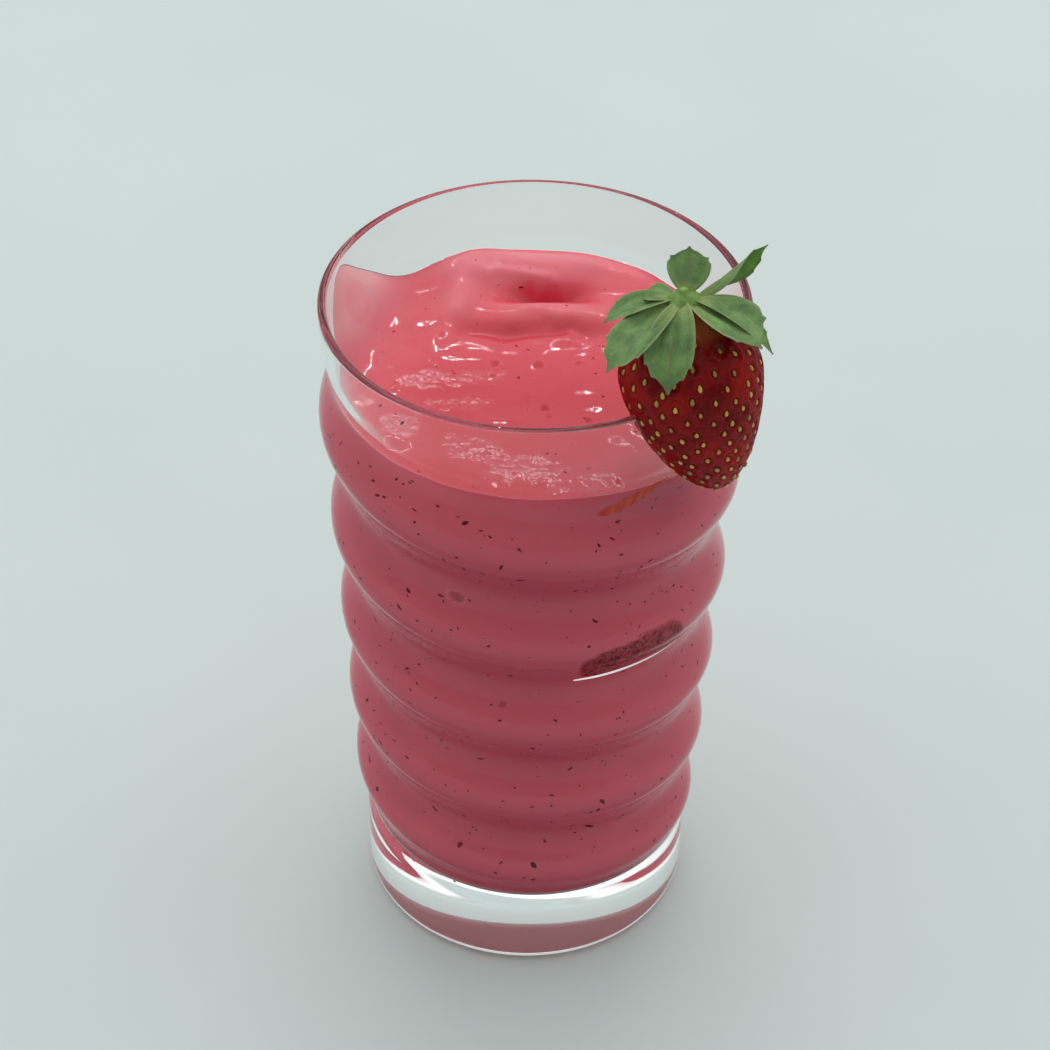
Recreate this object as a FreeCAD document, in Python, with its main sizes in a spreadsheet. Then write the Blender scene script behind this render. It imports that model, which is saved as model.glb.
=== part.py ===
"""A strawberry milkshake in a spiral-ribbed tumbler, with a whole strawberry on the rim.

Millimetres, +Z up. The origin is the centre of the circle the tumbler stands on. "Front" is -Y,
and angles round the glass are turned from the front towards +X.

glass             a heavy-footed tumbler whose wall is a stack of circles. Their centres wind round
                  the axis, so one rounded rib spirals down the wall, the same inside and out.
milkshake         fills the cavity up to a folded, spooned top.
strawberry        a bent cone, slit from its tip so that it straddles the rim.
strawberry_calyx  the green cap: a hub and its sepals, laid on the strawberry's shoulder.
"""

import FreeCAD, Part  # noqa: E401, I001

import math
import os

from FreeCAD import Placement, Rotation, Vector

DRIVING_SIZES = {
    # tumbler
    "glass_height": 150.0,
    "rim_radius": 42.0,
    "middle_radius": 37.8,
    "foot_radius": 34.6,
    "rim_wall": 1.7,
    "wall": 2.2,
    "floor_thickness": 15.0,
    "heel_round": 2.8,
    "cavity_round": 5.5,
    # the spiral rib
    "rib_start": 16.0,
    "rib_full": 28.0,
    "rib_fading": 128.0,
    "rib_end": 142.0,
    "rib_swell_low": 1.5,
    "rib_swell_top": 2.3,
    "rib_inside_share": 0.85,
    "rib_pitch_low": 19.4,
    "rib_pitch_top": 27.4,
    "rib_crest_angle": 218.1,
    # milkshake
    "fill_level": 130.9,
    "mound_height": 3.6,
    "fold_height": 2.8,
    "hollow_depth": 4.6,
    "wall_climb": 13.5,
    # strawberry
    "berry_length": 43.4,
    "berry_radius": 14.0,
    "berry_flatness": 0.92,
    "berry_bend": 6.5,
    "berry_angle": 44.0,
    "berry_tilt": 7.2,
    "berry_above_rim": 19.2,
    "slit_clearance": 0.25,
    "sepal_thickness": 0.7,
    "hub_radius": 3.4,
}
OUTER_SECTIONS = 64
INNER_SECTIONS = 56
SLOT_SECTIONS = 24
HEIGHT_SAMPLES = 43
SEPAL_SECTIONS = 7

# Each swell of the milkshake's top, for a rim radius of 42: the size it takes its height from, the
# share of it, the middle (x, y), the reach along and across, and the turn from +X in degrees.
SWELLS = [
    ("mound_height", 1.0, (-5.0, 35.0), (33.0, 8.0), -2.0),
    ("fold_height", 1.0, (4.5, 19.5), (17.0, 6.5), -6.0),
    ("fold_height", 0.8, (-16.0, 20.0), (11.0, 3.4), 76.0),
    ("hollow_depth", -1.0, (1.5, 27.0), (10.0, 3.2), 2.0),
    ("mound_height", 0.55, (-31.0, 8.0), (20.0, 12.0), 80.0),
    ("wall_climb", 1.0, (-40.0, 10.0), (9.5, 5.0), 76.0),
    ("wall_climb", 0.5, (-34.5, 20.5), (11.0, 4.5), 58.0),
    ("mound_height", -1.0, (33.0, -26.0), (17.0, 15.0), 45.0),
]

# Each sepal: angle round the berry's axis from the side that faces away from the glass,
# length, width, and how far its base and its tip stand up from the plane across the axis, in degrees.
SEPALS = [
    (-95.0, 18.5, 9.5, -14.0, -34.0),
    (-60.0, 17.5, 9.5, -22.0, -80.0),
    (12.0, 15.5, 12.5, -10.0, -38.0),
    (27.0, 18.0, 6.0, -14.0, -62.0),
    (66.0, 16.5, 4.6, 25.0, 28.0),
    (122.0, 8.4, 8.2, 50.0, 72.0),
    (-154.0, 6.5, 6.0, 10.0, -20.0),
    (-134.0, 14.0, 7.0, -6.0, -36.0),
]


def make_sheet(doc):
    """The driving sizes, one to a row: its name beside its value."""
    sheet = doc.addObject("Spreadsheet::Sheet", "Sizes")
    for row, (name, value) in enumerate(DRIVING_SIZES.items(), start=1):
        sheet.set(f"A{row}", name)
        sheet.set(f"B{row}", f"{value:g}")
        sheet.setAlias(f"B{row}", name)
    doc.recompute()
    return sheet


def ramp(height, start, end):
    """Expression for a smooth step from 0 at start to 1 at end."""
    share = f"min(max(({height} - {start}) / ({end} - {start}); 0); 1)"
    return f"(({share})^2 * (3 - 2 * ({share})))"


def mean_radius(height):
    """Expression for the wall's mean outer radius: a parabola through foot, middle and rim."""
    rise = f"(max({height} - Sizes.rib_start; 0) / (Sizes.glass_height - Sizes.rib_start))"
    belly = "(4 * Sizes.middle_radius - 3 * Sizes.foot_radius - Sizes.rim_radius)"
    bend = "(2 * Sizes.foot_radius + 2 * Sizes.rim_radius - 4 * Sizes.middle_radius)"
    return f"(Sizes.foot_radius + {belly} * {rise} + {bend} * {rise}^2)"


def rib_swell(height):
    """Expression for how far the rib pushes a section off the axis."""
    share = f"(({height} - Sizes.rib_start) / (Sizes.rib_end - Sizes.rib_start))"
    swell = f"(Sizes.rib_swell_low + (Sizes.rib_swell_top - Sizes.rib_swell_low) * {share})"
    rising = ramp(height, "Sizes.rib_start", "Sizes.rib_full")
    fading = ramp(height, "Sizes.rib_fading", "Sizes.rib_end")
    return f"({swell} * {rising} * (1 - {fading}))"


def crest_angle(height):
    """Expression for the angle of the rib's crest, in degrees. The pitch grows towards the rim."""
    above = f"({height} - Sizes.rib_start)"
    low = f"{above} / Sizes.rib_pitch_low"
    easing = "(1 / Sizes.rib_pitch_top - 1 / Sizes.rib_pitch_low)"
    change = f"0.5 * {easing} * {above}^2 / (Sizes.rib_end - Sizes.rib_start)"
    return f"(Sizes.rib_crest_angle - 360 * ({low} + {change}))"


def wall_at(height):
    """Expression for the wall's thickness, which thins evenly towards the rim."""
    share = f"({height} / Sizes.glass_height)"
    return f"(Sizes.wall + (Sizes.rim_wall - Sizes.wall) * {share}^3)"


def add_section(doc, name, height, inset, follow):
    """A circle of the wall at a height given as an expression, inset from the outer face."""
    circle = doc.addObject("Part::Circle", name)
    circle.setExpression("Radius", f"({mean_radius(height)} - ({inset})) * 1 mm")
    push = f"({follow}) * {rib_swell(height)}"
    angle = crest_angle(height)
    circle.setExpression(".Placement.Base.x", f"{push} * sin({angle} * 1 deg) * 1 mm")
    circle.setExpression(".Placement.Base.y", f"-{push} * cos({angle} * 1 deg) * 1 mm")
    circle.setExpression(".Placement.Base.z", f"({height}) * 1 mm")
    return circle


def add_wall_loft(doc, name, low, high, count, inset, follow):
    """A solid bounded by the spiral wall between two heights."""
    sections = []
    for index in range(count):
        height = f"({low} + ({high} - ({low})) * {index} / {count - 1})"
        sections.append(add_section(doc, f"{name}_{index:02d}", height, inset(height), follow))
    loft = doc.addObject("Part::Loft", name)
    loft.Sections = sections
    loft.Solid = True
    loft.Ruled = False
    return loft


def boolean(doc, kind, name, base, tool):
    result = doc.addObject(f"Part::{kind}", name)
    result.Base = base
    result.Tool = tool
    return result


def edges_at_height(shape, height, tolerance=0.05):
    """Numbers of the closed edges that lie level at a height."""
    found = []
    for number, edge in enumerate(shape.Edges, start=1):
        box = edge.BoundBox
        level = abs(box.ZMin - height) < tolerance and abs(box.ZMax - height) < tolerance
        if level and edge.isClosed():
            found.append(number)
    return found


def add_fillet(doc, name, base, height, radius):
    doc.recompute()
    fillet = doc.addObject("Part::Fillet", name)
    fillet.Base = base
    fillet.Edges = [(n, radius, radius) for n in edges_at_height(base.Shape, height)]
    doc.recompute()
    return fillet


def make_cavity(doc, size):
    """The tumbler's inside, up to the rim: what the glass leaves free and the milkshake fills."""
    high = "Sizes.glass_height"
    loft = add_wall_loft(
        doc, "cavity_wall", "Sizes.floor_thickness", high, INNER_SECTIONS, wall_at, "Sizes.rib_inside_share"
    )
    return add_fillet(doc, "cavity", loft, size("floor_thickness"), size("cavity_round"))


def make_glass(doc, size, cavity):
    body = add_wall_loft(
        doc, "glass_body", "0", "Sizes.glass_height", OUTER_SECTIONS, lambda height: "0", "1"
    )
    heeled = add_fillet(doc, "glass_heeled", body, 0.0, size("heel_round"))
    hollow = boolean(doc, "Cut", "glass_hollow", heeled, cavity)
    return add_fillet(doc, "glass", hollow, size("glass_height"), 0.45 * size("rim_wall"))


def swell(x, y, middle, reach, turn):
    """A round-topped swell of height 1 with its long side turned from +X."""
    cos, sin = math.cos(math.radians(turn)), math.sin(math.radians(turn))
    along = (x - middle[0]) * cos + (y - middle[1]) * sin
    across = (y - middle[1]) * cos - (x - middle[0]) * sin
    return math.exp(-((along / reach[0]) ** 2) - (across / reach[1]) ** 2)


def top_height(x, y, size):
    """How high the milkshake stands at a place: spooned folds round a hollow behind the middle."""
    scale = size("rim_radius") / 42.0
    height = size("fill_level")
    for name, share, middle, reach, turn in SWELLS:
        height += share * size(name) * swell(x / scale, y / scale, middle, reach, turn)
    return height


def make_milkshake(doc, size, cavity):
    """The cavity's contents, cut off by the folded top."""
    half = size("rim_radius") + 4.0
    step = 2 * half / (HEIGHT_SAMPLES - 1)
    rows = [
        [
            Vector(x, y, top_height(x, y, size))
            for y in (-half + step * j for j in range(HEIGHT_SAMPLES))
        ]
        for x in (-half + step * i for i in range(HEIGHT_SAMPLES))
    ]
    surface = Part.BSplineSurface()
    surface.interpolate(rows)
    below = doc.addObject("Part::Feature", "under_the_top")
    below.Shape = surface.toShape().extrude(Vector(0, 0, -size("glass_height")))
    return boolean(doc, "Common", "milkshake", cavity, below)


def berry_placement(size):
    """Origin at the berry's shoulder, -Z along its axis to the tip, -Y away from the glass."""
    tilt = math.radians(size("berry_tilt"))
    middle = size("rim_radius") - size("rim_wall") / 2
    radius = middle - size("berry_above_rim") * math.tan(tilt)
    around = Rotation(Vector(0, 0, 1), size("berry_angle"))
    lean = Rotation(Vector(1, 0, 0), -size("berry_tilt"))
    base = around.multVec(Vector(0, -radius, size("glass_height") + size("berry_above_rim")))
    return Placement(base, around.multiply(lean))


def berry_radius_at(share, size):
    """The berry's radius from its neck, at share 0, through its widest place to the blunt tip."""
    widest_share = 0.35
    if share < widest_share:
        grown = 0.25 + 0.75 * math.sin(math.pi / 2 * share / widest_share)
    else:
        grown = (1 - ((share - widest_share) / (1 - widest_share)) ** 1.6) ** 0.62
    return size("berry_radius") * grown


def ellipse_section(centre, across, along):
    """A closed ellipse level at a centre; across is its half width in X, along in Y."""
    major, minor = max(across, along), min(across, along)
    ellipse = Part.Ellipse(Vector(0, 0, 0), major, minor)
    wire = Part.Wire([ellipse.toShape()])
    wire.Placement = Placement(centre, Rotation(Vector(0, 0, 1), 0 if across >= along else 90))
    return wire


def make_berry_body(doc, size):
    """The whole berry in its own frame, before it is slit."""
    length = size("berry_length")
    count = 19
    sections = []
    for index in range(count):
        share = 0.998 * math.sin(math.pi / 2 * index / (count - 1))
        radius = berry_radius_at(share, size)
        bend = size("berry_bend") * share**2
        centre = Vector(bend, 0, -length * share)
        sections.append(ellipse_section(centre, radius, radius * size("berry_flatness")))
    body = doc.addObject("Part::Feature", "berry_body")
    body.Shape = Part.makeLoft(sections, True, False)
    body.Placement = berry_placement(size)
    return body


def make_strawberry(doc, size, body):
    """The berry with a slit that fits the wall, from its tip up to the rim."""
    low = "(Sizes.glass_height - Sizes.berry_length)"
    high = "Sizes.glass_height"
    outside = add_wall_loft(
        doc, "slit_outside", low, high, SLOT_SECTIONS, lambda height: "-Sizes.slit_clearance", "1"
    )
    inside = add_wall_loft(
        doc,
        "slit_inside",
        f"({low} - 1)",
        f"({high} + 1)",
        SLOT_SECTIONS,
        lambda height: f"{wall_at(height)} + Sizes.slit_clearance",
        "Sizes.rib_inside_share",
    )
    slit = boolean(doc, "Cut", "slit", outside, inside)
    return boolean(doc, "Cut", "strawberry", body, slit)


def lens_section(centre, side, up, half_width, half_thickness):
    """A closed lens across a sepal: two arcs that meet at its edges."""
    left = centre - side * half_width
    right = centre + side * half_width
    over = Part.Arc(left, centre + up * half_thickness, right).toShape()
    under = Part.Arc(right, centre - up * half_thickness, left).toShape()
    return Part.Wire([over, under])


def clear_of_berry(place, size):
    """The place itself, or pushed straight out from the berry's axis until it lies on the skin."""
    share = min(max(-place.z / size("berry_length"), 0.0), 1.0)
    reach = math.hypot(place.x, place.y)
    skin = berry_radius_at(share, size) + 1.3 * size("sepal_thickness")
    if place.z > 0 or reach >= skin:
        return place
    return Vector(place.x * skin / reach, place.y * skin / reach, place.z)


def make_sepal(doc, size, number, form):
    """One sepal: a tapering lens swept along a midrib that curls from base angle to tip angle."""
    angle, length, width, base_lift, tip_lift = form
    around = Rotation(Vector(0, 0, 1), angle)
    outward = around.multVec(Vector(0, -1, 0))
    side = around.multVec(Vector(1, 0, 0))
    step = length / (SEPAL_SECTIONS - 1)
    layer = 0.6 + 0.9 * (number % 2)
    place = outward * (0.55 * size("hub_radius")) + Vector(0, 0, layer * size("sepal_thickness"))
    sections = []
    for index in range(SEPAL_SECTIONS):
        share = index / (SEPAL_SECTIONS - 1)
        lift = math.radians(base_lift + (tip_lift - base_lift) * share)
        forward = outward * math.cos(lift) + Vector(0, 0, math.sin(lift))
        up = side.cross(forward)
        if up.z < 0 and abs(math.degrees(lift)) < 90:
            up = up * -1
        spread = 0.22 + 0.78 * math.sin(math.pi * min(1.0, 0.86 * share)) ** 0.8
        spread *= 1.0 if share < 0.8 else 1.0 - 0.8 * ((share - 0.8) / 0.2) ** 1.2
        thick = size("sepal_thickness") / 2 * (1.0 - 0.45 * share)
        sections.append(lens_section(place, side, up, width / 2 * spread, thick))
        place = clear_of_berry(place + forward * step, size)
    sepal = doc.addObject("Part::Feature", f"sepal_{number}")
    sepal.Shape = Part.makeLoft(sections, True, False)
    sepal.Placement = berry_placement(size)
    return sepal


def make_hub(doc, size):
    """The cap's middle: a low dome seated on the berry's neck, with the stub of the stalk."""
    hub = doc.addObject("Part::Feature", "calyx_hub")
    radius = size("hub_radius")
    dome = Part.makeCone(radius, 0.5 * radius, 0.6 * radius)
    stalk = Part.makeCylinder(0.3 * radius, 0.9 * radius)
    hub.Shape = dome.fuse(stalk).removeSplitter()
    hub.Placement = berry_placement(size)
    return hub


def make_calyx(doc, size):
    """Hub and sepals as one piece."""
    calyx = doc.addObject("Part::MultiFuse", "strawberry_calyx")
    calyx.Shapes = [make_hub(doc, size)] + [
        make_sepal(doc, size, number, form) for number, form in enumerate(SEPALS)
    ]
    return calyx


def check(doc):
    """Stops if any object failed to recompute or holds a broken shape."""
    for item in doc.Objects:
        if "Invalid" in item.State or "Error" in item.State:
            raise RuntimeError(f"{item.Name} failed: {item.State}")


def write(pieces):
    os.makedirs("parts", exist_ok=True)
    for piece in pieces:
        shape = piece.Shape
        if shape.isNull() or not shape.isValid() or len(shape.Solids) != 1:
            raise RuntimeError(f"{piece.Label} is not one valid solid: {len(shape.Solids)} solids")
        shape.exportStep(f"parts/{piece.Label}.step")
        print(f"{piece.Label}: {shape.Volume / 1000:.2f} cm3")


def main():
    doc = FreeCAD.newDocument("strawberry_milkshake")
    sheet = make_sheet(doc)

    def size(name):
        return float(sheet.get(name))

    cavity = make_cavity(doc, size)
    glass = make_glass(doc, size, cavity)
    milkshake = make_milkshake(doc, size, cavity)
    berry_body = make_berry_body(doc, size)
    strawberry = make_strawberry(doc, size, berry_body)
    calyx = make_calyx(doc, size)
    doc.recompute()
    check(doc)
    write([glass, milkshake, strawberry, calyx])


main()
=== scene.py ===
"""Looks of a strawberry milkshake in a spiral-ribbed tumbler with a strawberry on its rim.

Lengths are in millimetres until a mesh is made. "Front" is -Y, and angles round the glass, in
degrees, are turned from the front towards +X.
"""

import math

import bpy
import numpy as np
from mathutils import Matrix, Vector


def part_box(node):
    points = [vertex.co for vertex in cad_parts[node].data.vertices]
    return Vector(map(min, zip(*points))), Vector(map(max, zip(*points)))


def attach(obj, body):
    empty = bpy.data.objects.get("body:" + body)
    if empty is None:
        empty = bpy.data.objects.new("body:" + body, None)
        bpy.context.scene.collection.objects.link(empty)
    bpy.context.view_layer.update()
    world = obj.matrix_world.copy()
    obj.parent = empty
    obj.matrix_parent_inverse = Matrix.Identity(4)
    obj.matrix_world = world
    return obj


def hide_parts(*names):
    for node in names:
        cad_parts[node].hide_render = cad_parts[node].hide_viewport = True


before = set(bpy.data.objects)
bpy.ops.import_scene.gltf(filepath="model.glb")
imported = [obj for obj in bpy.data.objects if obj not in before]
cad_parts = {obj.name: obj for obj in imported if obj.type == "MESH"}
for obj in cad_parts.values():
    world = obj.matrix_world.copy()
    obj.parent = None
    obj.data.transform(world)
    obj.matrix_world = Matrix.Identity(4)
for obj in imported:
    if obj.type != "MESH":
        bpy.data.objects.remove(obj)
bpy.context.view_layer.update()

MM = 0.001
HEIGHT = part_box("glass")[1].z / MM

# how finely the meshes are cut
GLASS_COLUMNS, GLASS_ROW_STEP = 288, 1.0
MILKSHAKE_FRONT_COLUMNS, MILKSHAKE_BACK_COLUMNS, MILKSHAKE_TOP_ROWS = 260, 140, 96
BERRY_ROWS, BERRY_COLUMNS = 230, 380
SEPAL_ROWS, SEPAL_COLUMNS, HUB_COLUMNS = 64, 25, 40
SLIVER_ROWS, SLIVER_COLUMNS, HIGHLIGHT_ROWS, HIGHLIGHT_COLUMNS = 60, 16, 90, 12
FLOOR_COLUMNS = 96

# tumbler
RIM_RADIUS, MIDDLE_RADIUS, FOOT_RADIUS = 42.0, 37.8, 34.6
WALL, RIM_WALL = 2.2, 1.7
HEEL_ROUND, RIM_ROUND = 2.8, 0.765
RIB_START, RIB_FULL, RIB_FADING, RIB_END = 16.0, 28.0, 128.0, 142.0
RIB_SWELL_LOW, RIB_SWELL_TOP, RIB_INSIDE_SHARE = 1.5, 2.3, 0.85
RIB_PITCH_LOW, RIB_PITCH_TOP, RIB_CREST_ANGLE = 19.4, 27.4, 218.1
INTO_WALL, HOLLOW_DEPTH = 0.15, 0.10
BOWL_LOW, BOWL_TOP = 13.2, 25.0
BOWL_RADIUS_POWER, BOWL_DROP_POWER = 2.4, 3.0
BOWL_STEPS = np.sin(np.linspace(0.04, math.pi / 2, 24))

FILL_LEVEL, MENISCUS_RISE, MENISCUS_REACH = 130.9, 0.7, 0.55
# large forms of the milkshake's top: height, middle, reach along and across, turn
SWELLS = [
    (3.6, (-5.0, 35.0), (33.0, 8.0), -2.0),
    (2.8, (4.5, 19.5), (17.0, 6.5), -6.0),
    (2.24, (-16.0, 20.0), (11.0, 3.4), 76.0),
    (-5.6, (2.4, 26.4), (7.0, 2.6), 4.0),
    (1.98, (-31.0, 8.0), (20.0, 12.0), 80.0),
    (13.5, (-40.0, 10.0), (9.5, 5.0), 76.0),
    (6.75, (-34.5, 20.5), (11.0, 4.5), 58.0),
    (-3.6, (33.0, -26.0), (17.0, 15.0), 45.0),
]
# finer folds on it, given in the same way
FOLDS = [
    (0.7, (-4.0, 36.0), (17.0, 3.4), -4.0),
    (0.5, (-15.5, 29.5), (9.0, 3.0), 58.0),
    (1.3, (-4.5, 30.4), (9.0, 1.8), -9.0),
    (0.5, (17.0, 33.0), (9.0, 2.6), -18.0),
    (-1.5, (1.0, 14.6), (17.0, 2.4), 2.0),
    (0.15, (-7.0, 9.4), (12.0, 1.1), -5.0),
    (0.12, (7.5, 10.6), (7.0, 1.0), 14.0),
    (0.14, (-13.0, 5.6), (8.0, 1.1), 8.0),
    (0.12, (4.0, 4.4), (7.0, 1.1), -30.0),
    (0.10, (9.0, 7.4), (5.0, 0.9), 30.0),
    (0.11, (-10.0, -2.2), (6.0, 1.1), 6.0),
    (0.10, (-3.5, -4.2), (4.5, 1.0), -34.0),
    (0.10, (12.0, -3.0), (8.0, 1.6), 12.0),
    (0.16, (-8.0, -13.4), (13.0, 1.4), -8.0),
    (-0.22, (0.0, -10.0), (16.0, 2.6), -6.0),
    (0.10, (-20.0, -8.0), (6.0, 1.6), -30.0),
    (0.16, (-8.0, -22.0), (14.0, 2.0), -4.0),
    (0.12, (5.0, -28.0), (10.0, 1.6), 8.0),
    (0.15, (-27.0, 4.0), (8.0, 2.6), 60.0),
]

# strawberry
BERRY_LENGTH, BERRY_RADIUS, BERRY_FLATNESS, BERRY_BEND = 43.4, 14.0, 0.92, 6.5
BERRY_ANGLE, BERRY_TILT, BERRY_ABOVE_RIM = 44.0, 7.2, 19.2
SEED_COUNT, RED_COUNT, DARK_COUNT, TOP_COUNT = 235, 1300, 70, 90
HUB_RADIUS, SEPAL_THICKNESS = 3.4, 0.7
# angle round the berry, length, width, and lift in degrees at the base and at the tip
SEPALS = [
    (-95.0, 18.5, 9.5, -14.0, -34.0),
    (-60.0, 17.5, 9.5, -22.0, -80.0),
    (12.0, 15.5, 12.5, -10.0, -38.0),
    (27.0, 18.0, 6.0, -14.0, -62.0),
    (66.0, 16.5, 4.6, 25.0, 28.0),
    (122.0, 8.4, 8.2, 50.0, 72.0),
    (-154.0, 6.5, 6.0, 10.0, -20.0),
    (-134.0, 14.0, 7.0, -6.0, -36.0),
]
# how far a sepal's sides bend up, for its half width; the standing ones differ from the rest
ROLLED_SEPAL, SEPAL_CUP, SEPAL_CUPS = 4, -0.30, {4: 0.9, 5: 0.10}
# the hub's outline: radius and height
HUB = [
    (HUB_RADIUS, 0.0),
    (HUB_RADIUS, 0.25),
    (2.9, 1.2),
    (2.2, 1.9),
    (1.35, 2.2),
    (1.05, 2.4),
    (0.95, 2.95),
    (0.7, 3.05),
]


# ---------------------------------------------------------------- shapes


def whole_turn(count):
    """Angles spread evenly over one turn."""
    return np.linspace(0, 2 * math.pi, count + 1)[:-1]


def smoothstep(x, low, high):
    share = np.clip((x - low) / (high - low), 0, 1)
    return share * share * (3 - 2 * share)


def mean_radius(z):
    rise = np.maximum(z - RIB_START, 0) / (HEIGHT - RIB_START)
    belly = 4 * MIDDLE_RADIUS - 3 * FOOT_RADIUS - RIM_RADIUS
    bend = 2 * FOOT_RADIUS + 2 * RIM_RADIUS - 4 * MIDDLE_RADIUS
    return FOOT_RADIUS + belly * rise + bend * rise**2


def rib_swell(z):
    share = (z - RIB_START) / (RIB_END - RIB_START)
    swell = RIB_SWELL_LOW + (RIB_SWELL_TOP - RIB_SWELL_LOW) * share
    return swell * smoothstep(z, RIB_START, RIB_FULL) * (1 - smoothstep(z, RIB_FADING, RIB_END))


def crest_angle(z):
    above = z - RIB_START
    easing = (1 / RIB_PITCH_TOP - 1 / RIB_PITCH_LOW) / (RIB_END - RIB_START)
    return np.radians(RIB_CREST_ANGLE - 360 * (above / RIB_PITCH_LOW + 0.5 * easing * above**2))


def wall_at(z):
    return WALL + (RIM_WALL - WALL) * (z / HEIGHT) ** 3


def on_wall(z, turn, inset, follow):
    """Points of the wall's section at height z; turn in radians from the front towards +X."""
    z, turn = np.broadcast_arrays(np.asarray(z, float), np.asarray(turn, float))
    radius = mean_radius(z) - inset
    push = follow * rib_swell(z)
    crest = crest_angle(z)
    x = radius * np.sin(turn) + push * np.sin(crest)
    y = -radius * np.cos(turn) - push * np.cos(crest)
    return np.stack([x, y, z], -1)


def inner_wall(z, turn, inset=0.0):
    """Points of the inner wall, moved in towards the axis by inset."""
    return on_wall(z, turn, wall_at(z) + inset, RIB_INSIDE_SHARE)


def bowl_height(share):
    """The bowl's height where its radius is a share of the wall's."""
    drop = (1 - share**BOWL_RADIUS_POWER) ** (1 / BOWL_DROP_POWER)
    return BOWL_TOP - (BOWL_TOP - BOWL_LOW) * drop


def bowl_point(share, turn, sink=0.0):
    """Points of the bowl from its middle, at share 0, to the wall, pushed sink into the glass."""
    z = bowl_height(share)
    wall = mean_radius(z) - wall_at(z)
    step = 1e-3
    rise = (bowl_height(min(share + step, 1.0)) - bowl_height(max(share - step, 0.0))) / (
        wall * (min(share + step, 1.0) - max(share - step, 0.0))
    )
    slope = math.atan(rise)
    inset = mean_radius(z) - wall * share - sink * math.sin(slope)
    heights = np.full(len(turn), z - sink * math.cos(slope))
    return on_wall(heights, turn, inset, RIB_INSIDE_SHARE * share)


def lattice_noise(x, y, cell, seed):
    """Smooth value noise from -1 to 1 over a plane."""
    random = np.random.default_rng(seed).uniform(-1, 1, (64, 64))
    u, v = x / cell, y / cell
    iu, iv = np.floor(u).astype(int), np.floor(v).astype(int)
    fu, fv = u - iu, v - iv
    fu, fv = fu * fu * (3 - 2 * fu), fv * fv * (3 - 2 * fv)
    a = random[iu % 64, iv % 64] * (1 - fu) + random[(iu + 1) % 64, iv % 64] * fu
    b = random[iu % 64, (iv + 1) % 64] * (1 - fu) + random[(iu + 1) % 64, (iv + 1) % 64] * fu
    return a * (1 - fv) + b * fv


def swell(x, y, middle, reach, turn):
    cos, sin = math.cos(math.radians(turn)), math.sin(math.radians(turn))
    along = (x - middle[0]) * cos + (y - middle[1]) * sin
    across = (y - middle[1]) * cos - (x - middle[0]) * sin
    return np.exp(-((along / reach[0]) ** 2) - (across / reach[1]) ** 2)


# ---------------------------------------------------------------- meshes


def add_mesh(name, points, quads, triangles=None, attributes=None):
    """A smooth mesh piece from points in millimetres."""
    quads = np.asarray(quads, int).reshape(-1, 4)
    triangles = np.asarray([] if triangles is None else triangles, int).reshape(-1, 3)
    mesh = bpy.data.meshes.new(name)
    mesh.vertices.add(len(points))
    mesh.vertices.foreach_set("co", (np.asarray(points, float) * MM).astype(np.float32).ravel())
    loops = np.concatenate([quads.ravel(), triangles.ravel()]).astype(np.int32)
    mesh.loops.add(len(loops))
    mesh.loops.foreach_set("vertex_index", loops)
    sizes = np.concatenate([np.full(len(quads), 4), np.full(len(triangles), 3)])
    mesh.polygons.add(len(sizes))
    mesh.polygons.foreach_set("loop_start", (np.cumsum(sizes) - sizes).astype(np.int32))
    mesh.polygons.foreach_set("use_smooth", np.ones(len(sizes), bool))
    mesh.update(calc_edges=True)
    for key, values in (attributes or {}).items():
        layer = mesh.attributes.new(key, "FLOAT", "POINT")
        layer.data.foreach_set("value", np.asarray(values, np.float32).ravel())
    piece = bpy.data.objects.new(name, mesh)
    bpy.context.scene.collection.objects.link(piece)
    return piece


def ring_faces(rows, columns, first=0):
    """Quads between rows of points that each close round."""
    i, j = np.meshgrid(np.arange(rows - 1), np.arange(columns), indexing="ij")
    k = (j + 1) % columns
    low, high = i * columns, (i + 1) * columns
    return np.stack([low + j, low + k, high + k, high + j], -1).reshape(-1, 4) + first


def fan(columns, row_start, centre, flip):
    """Triangles from a closed row to a centre point."""
    j = np.arange(columns)
    k = (j + 1) % columns
    around = (k, j) if flip else (j, k)
    return np.stack([row_start + around[0], row_start + around[1], np.full(columns, centre)], -1)


def add_lump(lists, body, ends, rings, around):
    """Add a closed lump, given as rings of points and two end points, to a piece's lists."""
    points, quads, triangles = lists
    first = len(points)
    points.extend(body)
    points.extend(ends)
    quads.extend(ring_faces(rings, around, first))
    last_ring, low_end = first + (rings - 1) * around, first + rings * around
    triangles.extend(fan(around, first, low_end, True))
    triangles.extend(fan(around, last_ring, low_end + 1, False))


def turned_body(name, rows, low_centre, high_centre, attributes=None):
    """A closed body from rows of points, from a centre below out and up to a centre above."""
    count, columns = rows.shape[:2]
    points = np.concatenate([rows.reshape(-1, 3), [low_centre], [high_centre]])
    triangles = np.concatenate(
        [
            fan(columns, 0, count * columns, True),
            fan(columns, (count - 1) * columns, count * columns + 1, False),
        ]
    )
    return add_mesh(name, points, ring_faces(count, columns), triangles, attributes)


def finish_piece(piece, material, slot, *nodes):
    piece.data.materials.append(material)
    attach(piece, "root")
    if nodes:
        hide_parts(*nodes)
    return piece


# ---------------------------------------------------------------- shader helpers


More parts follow.
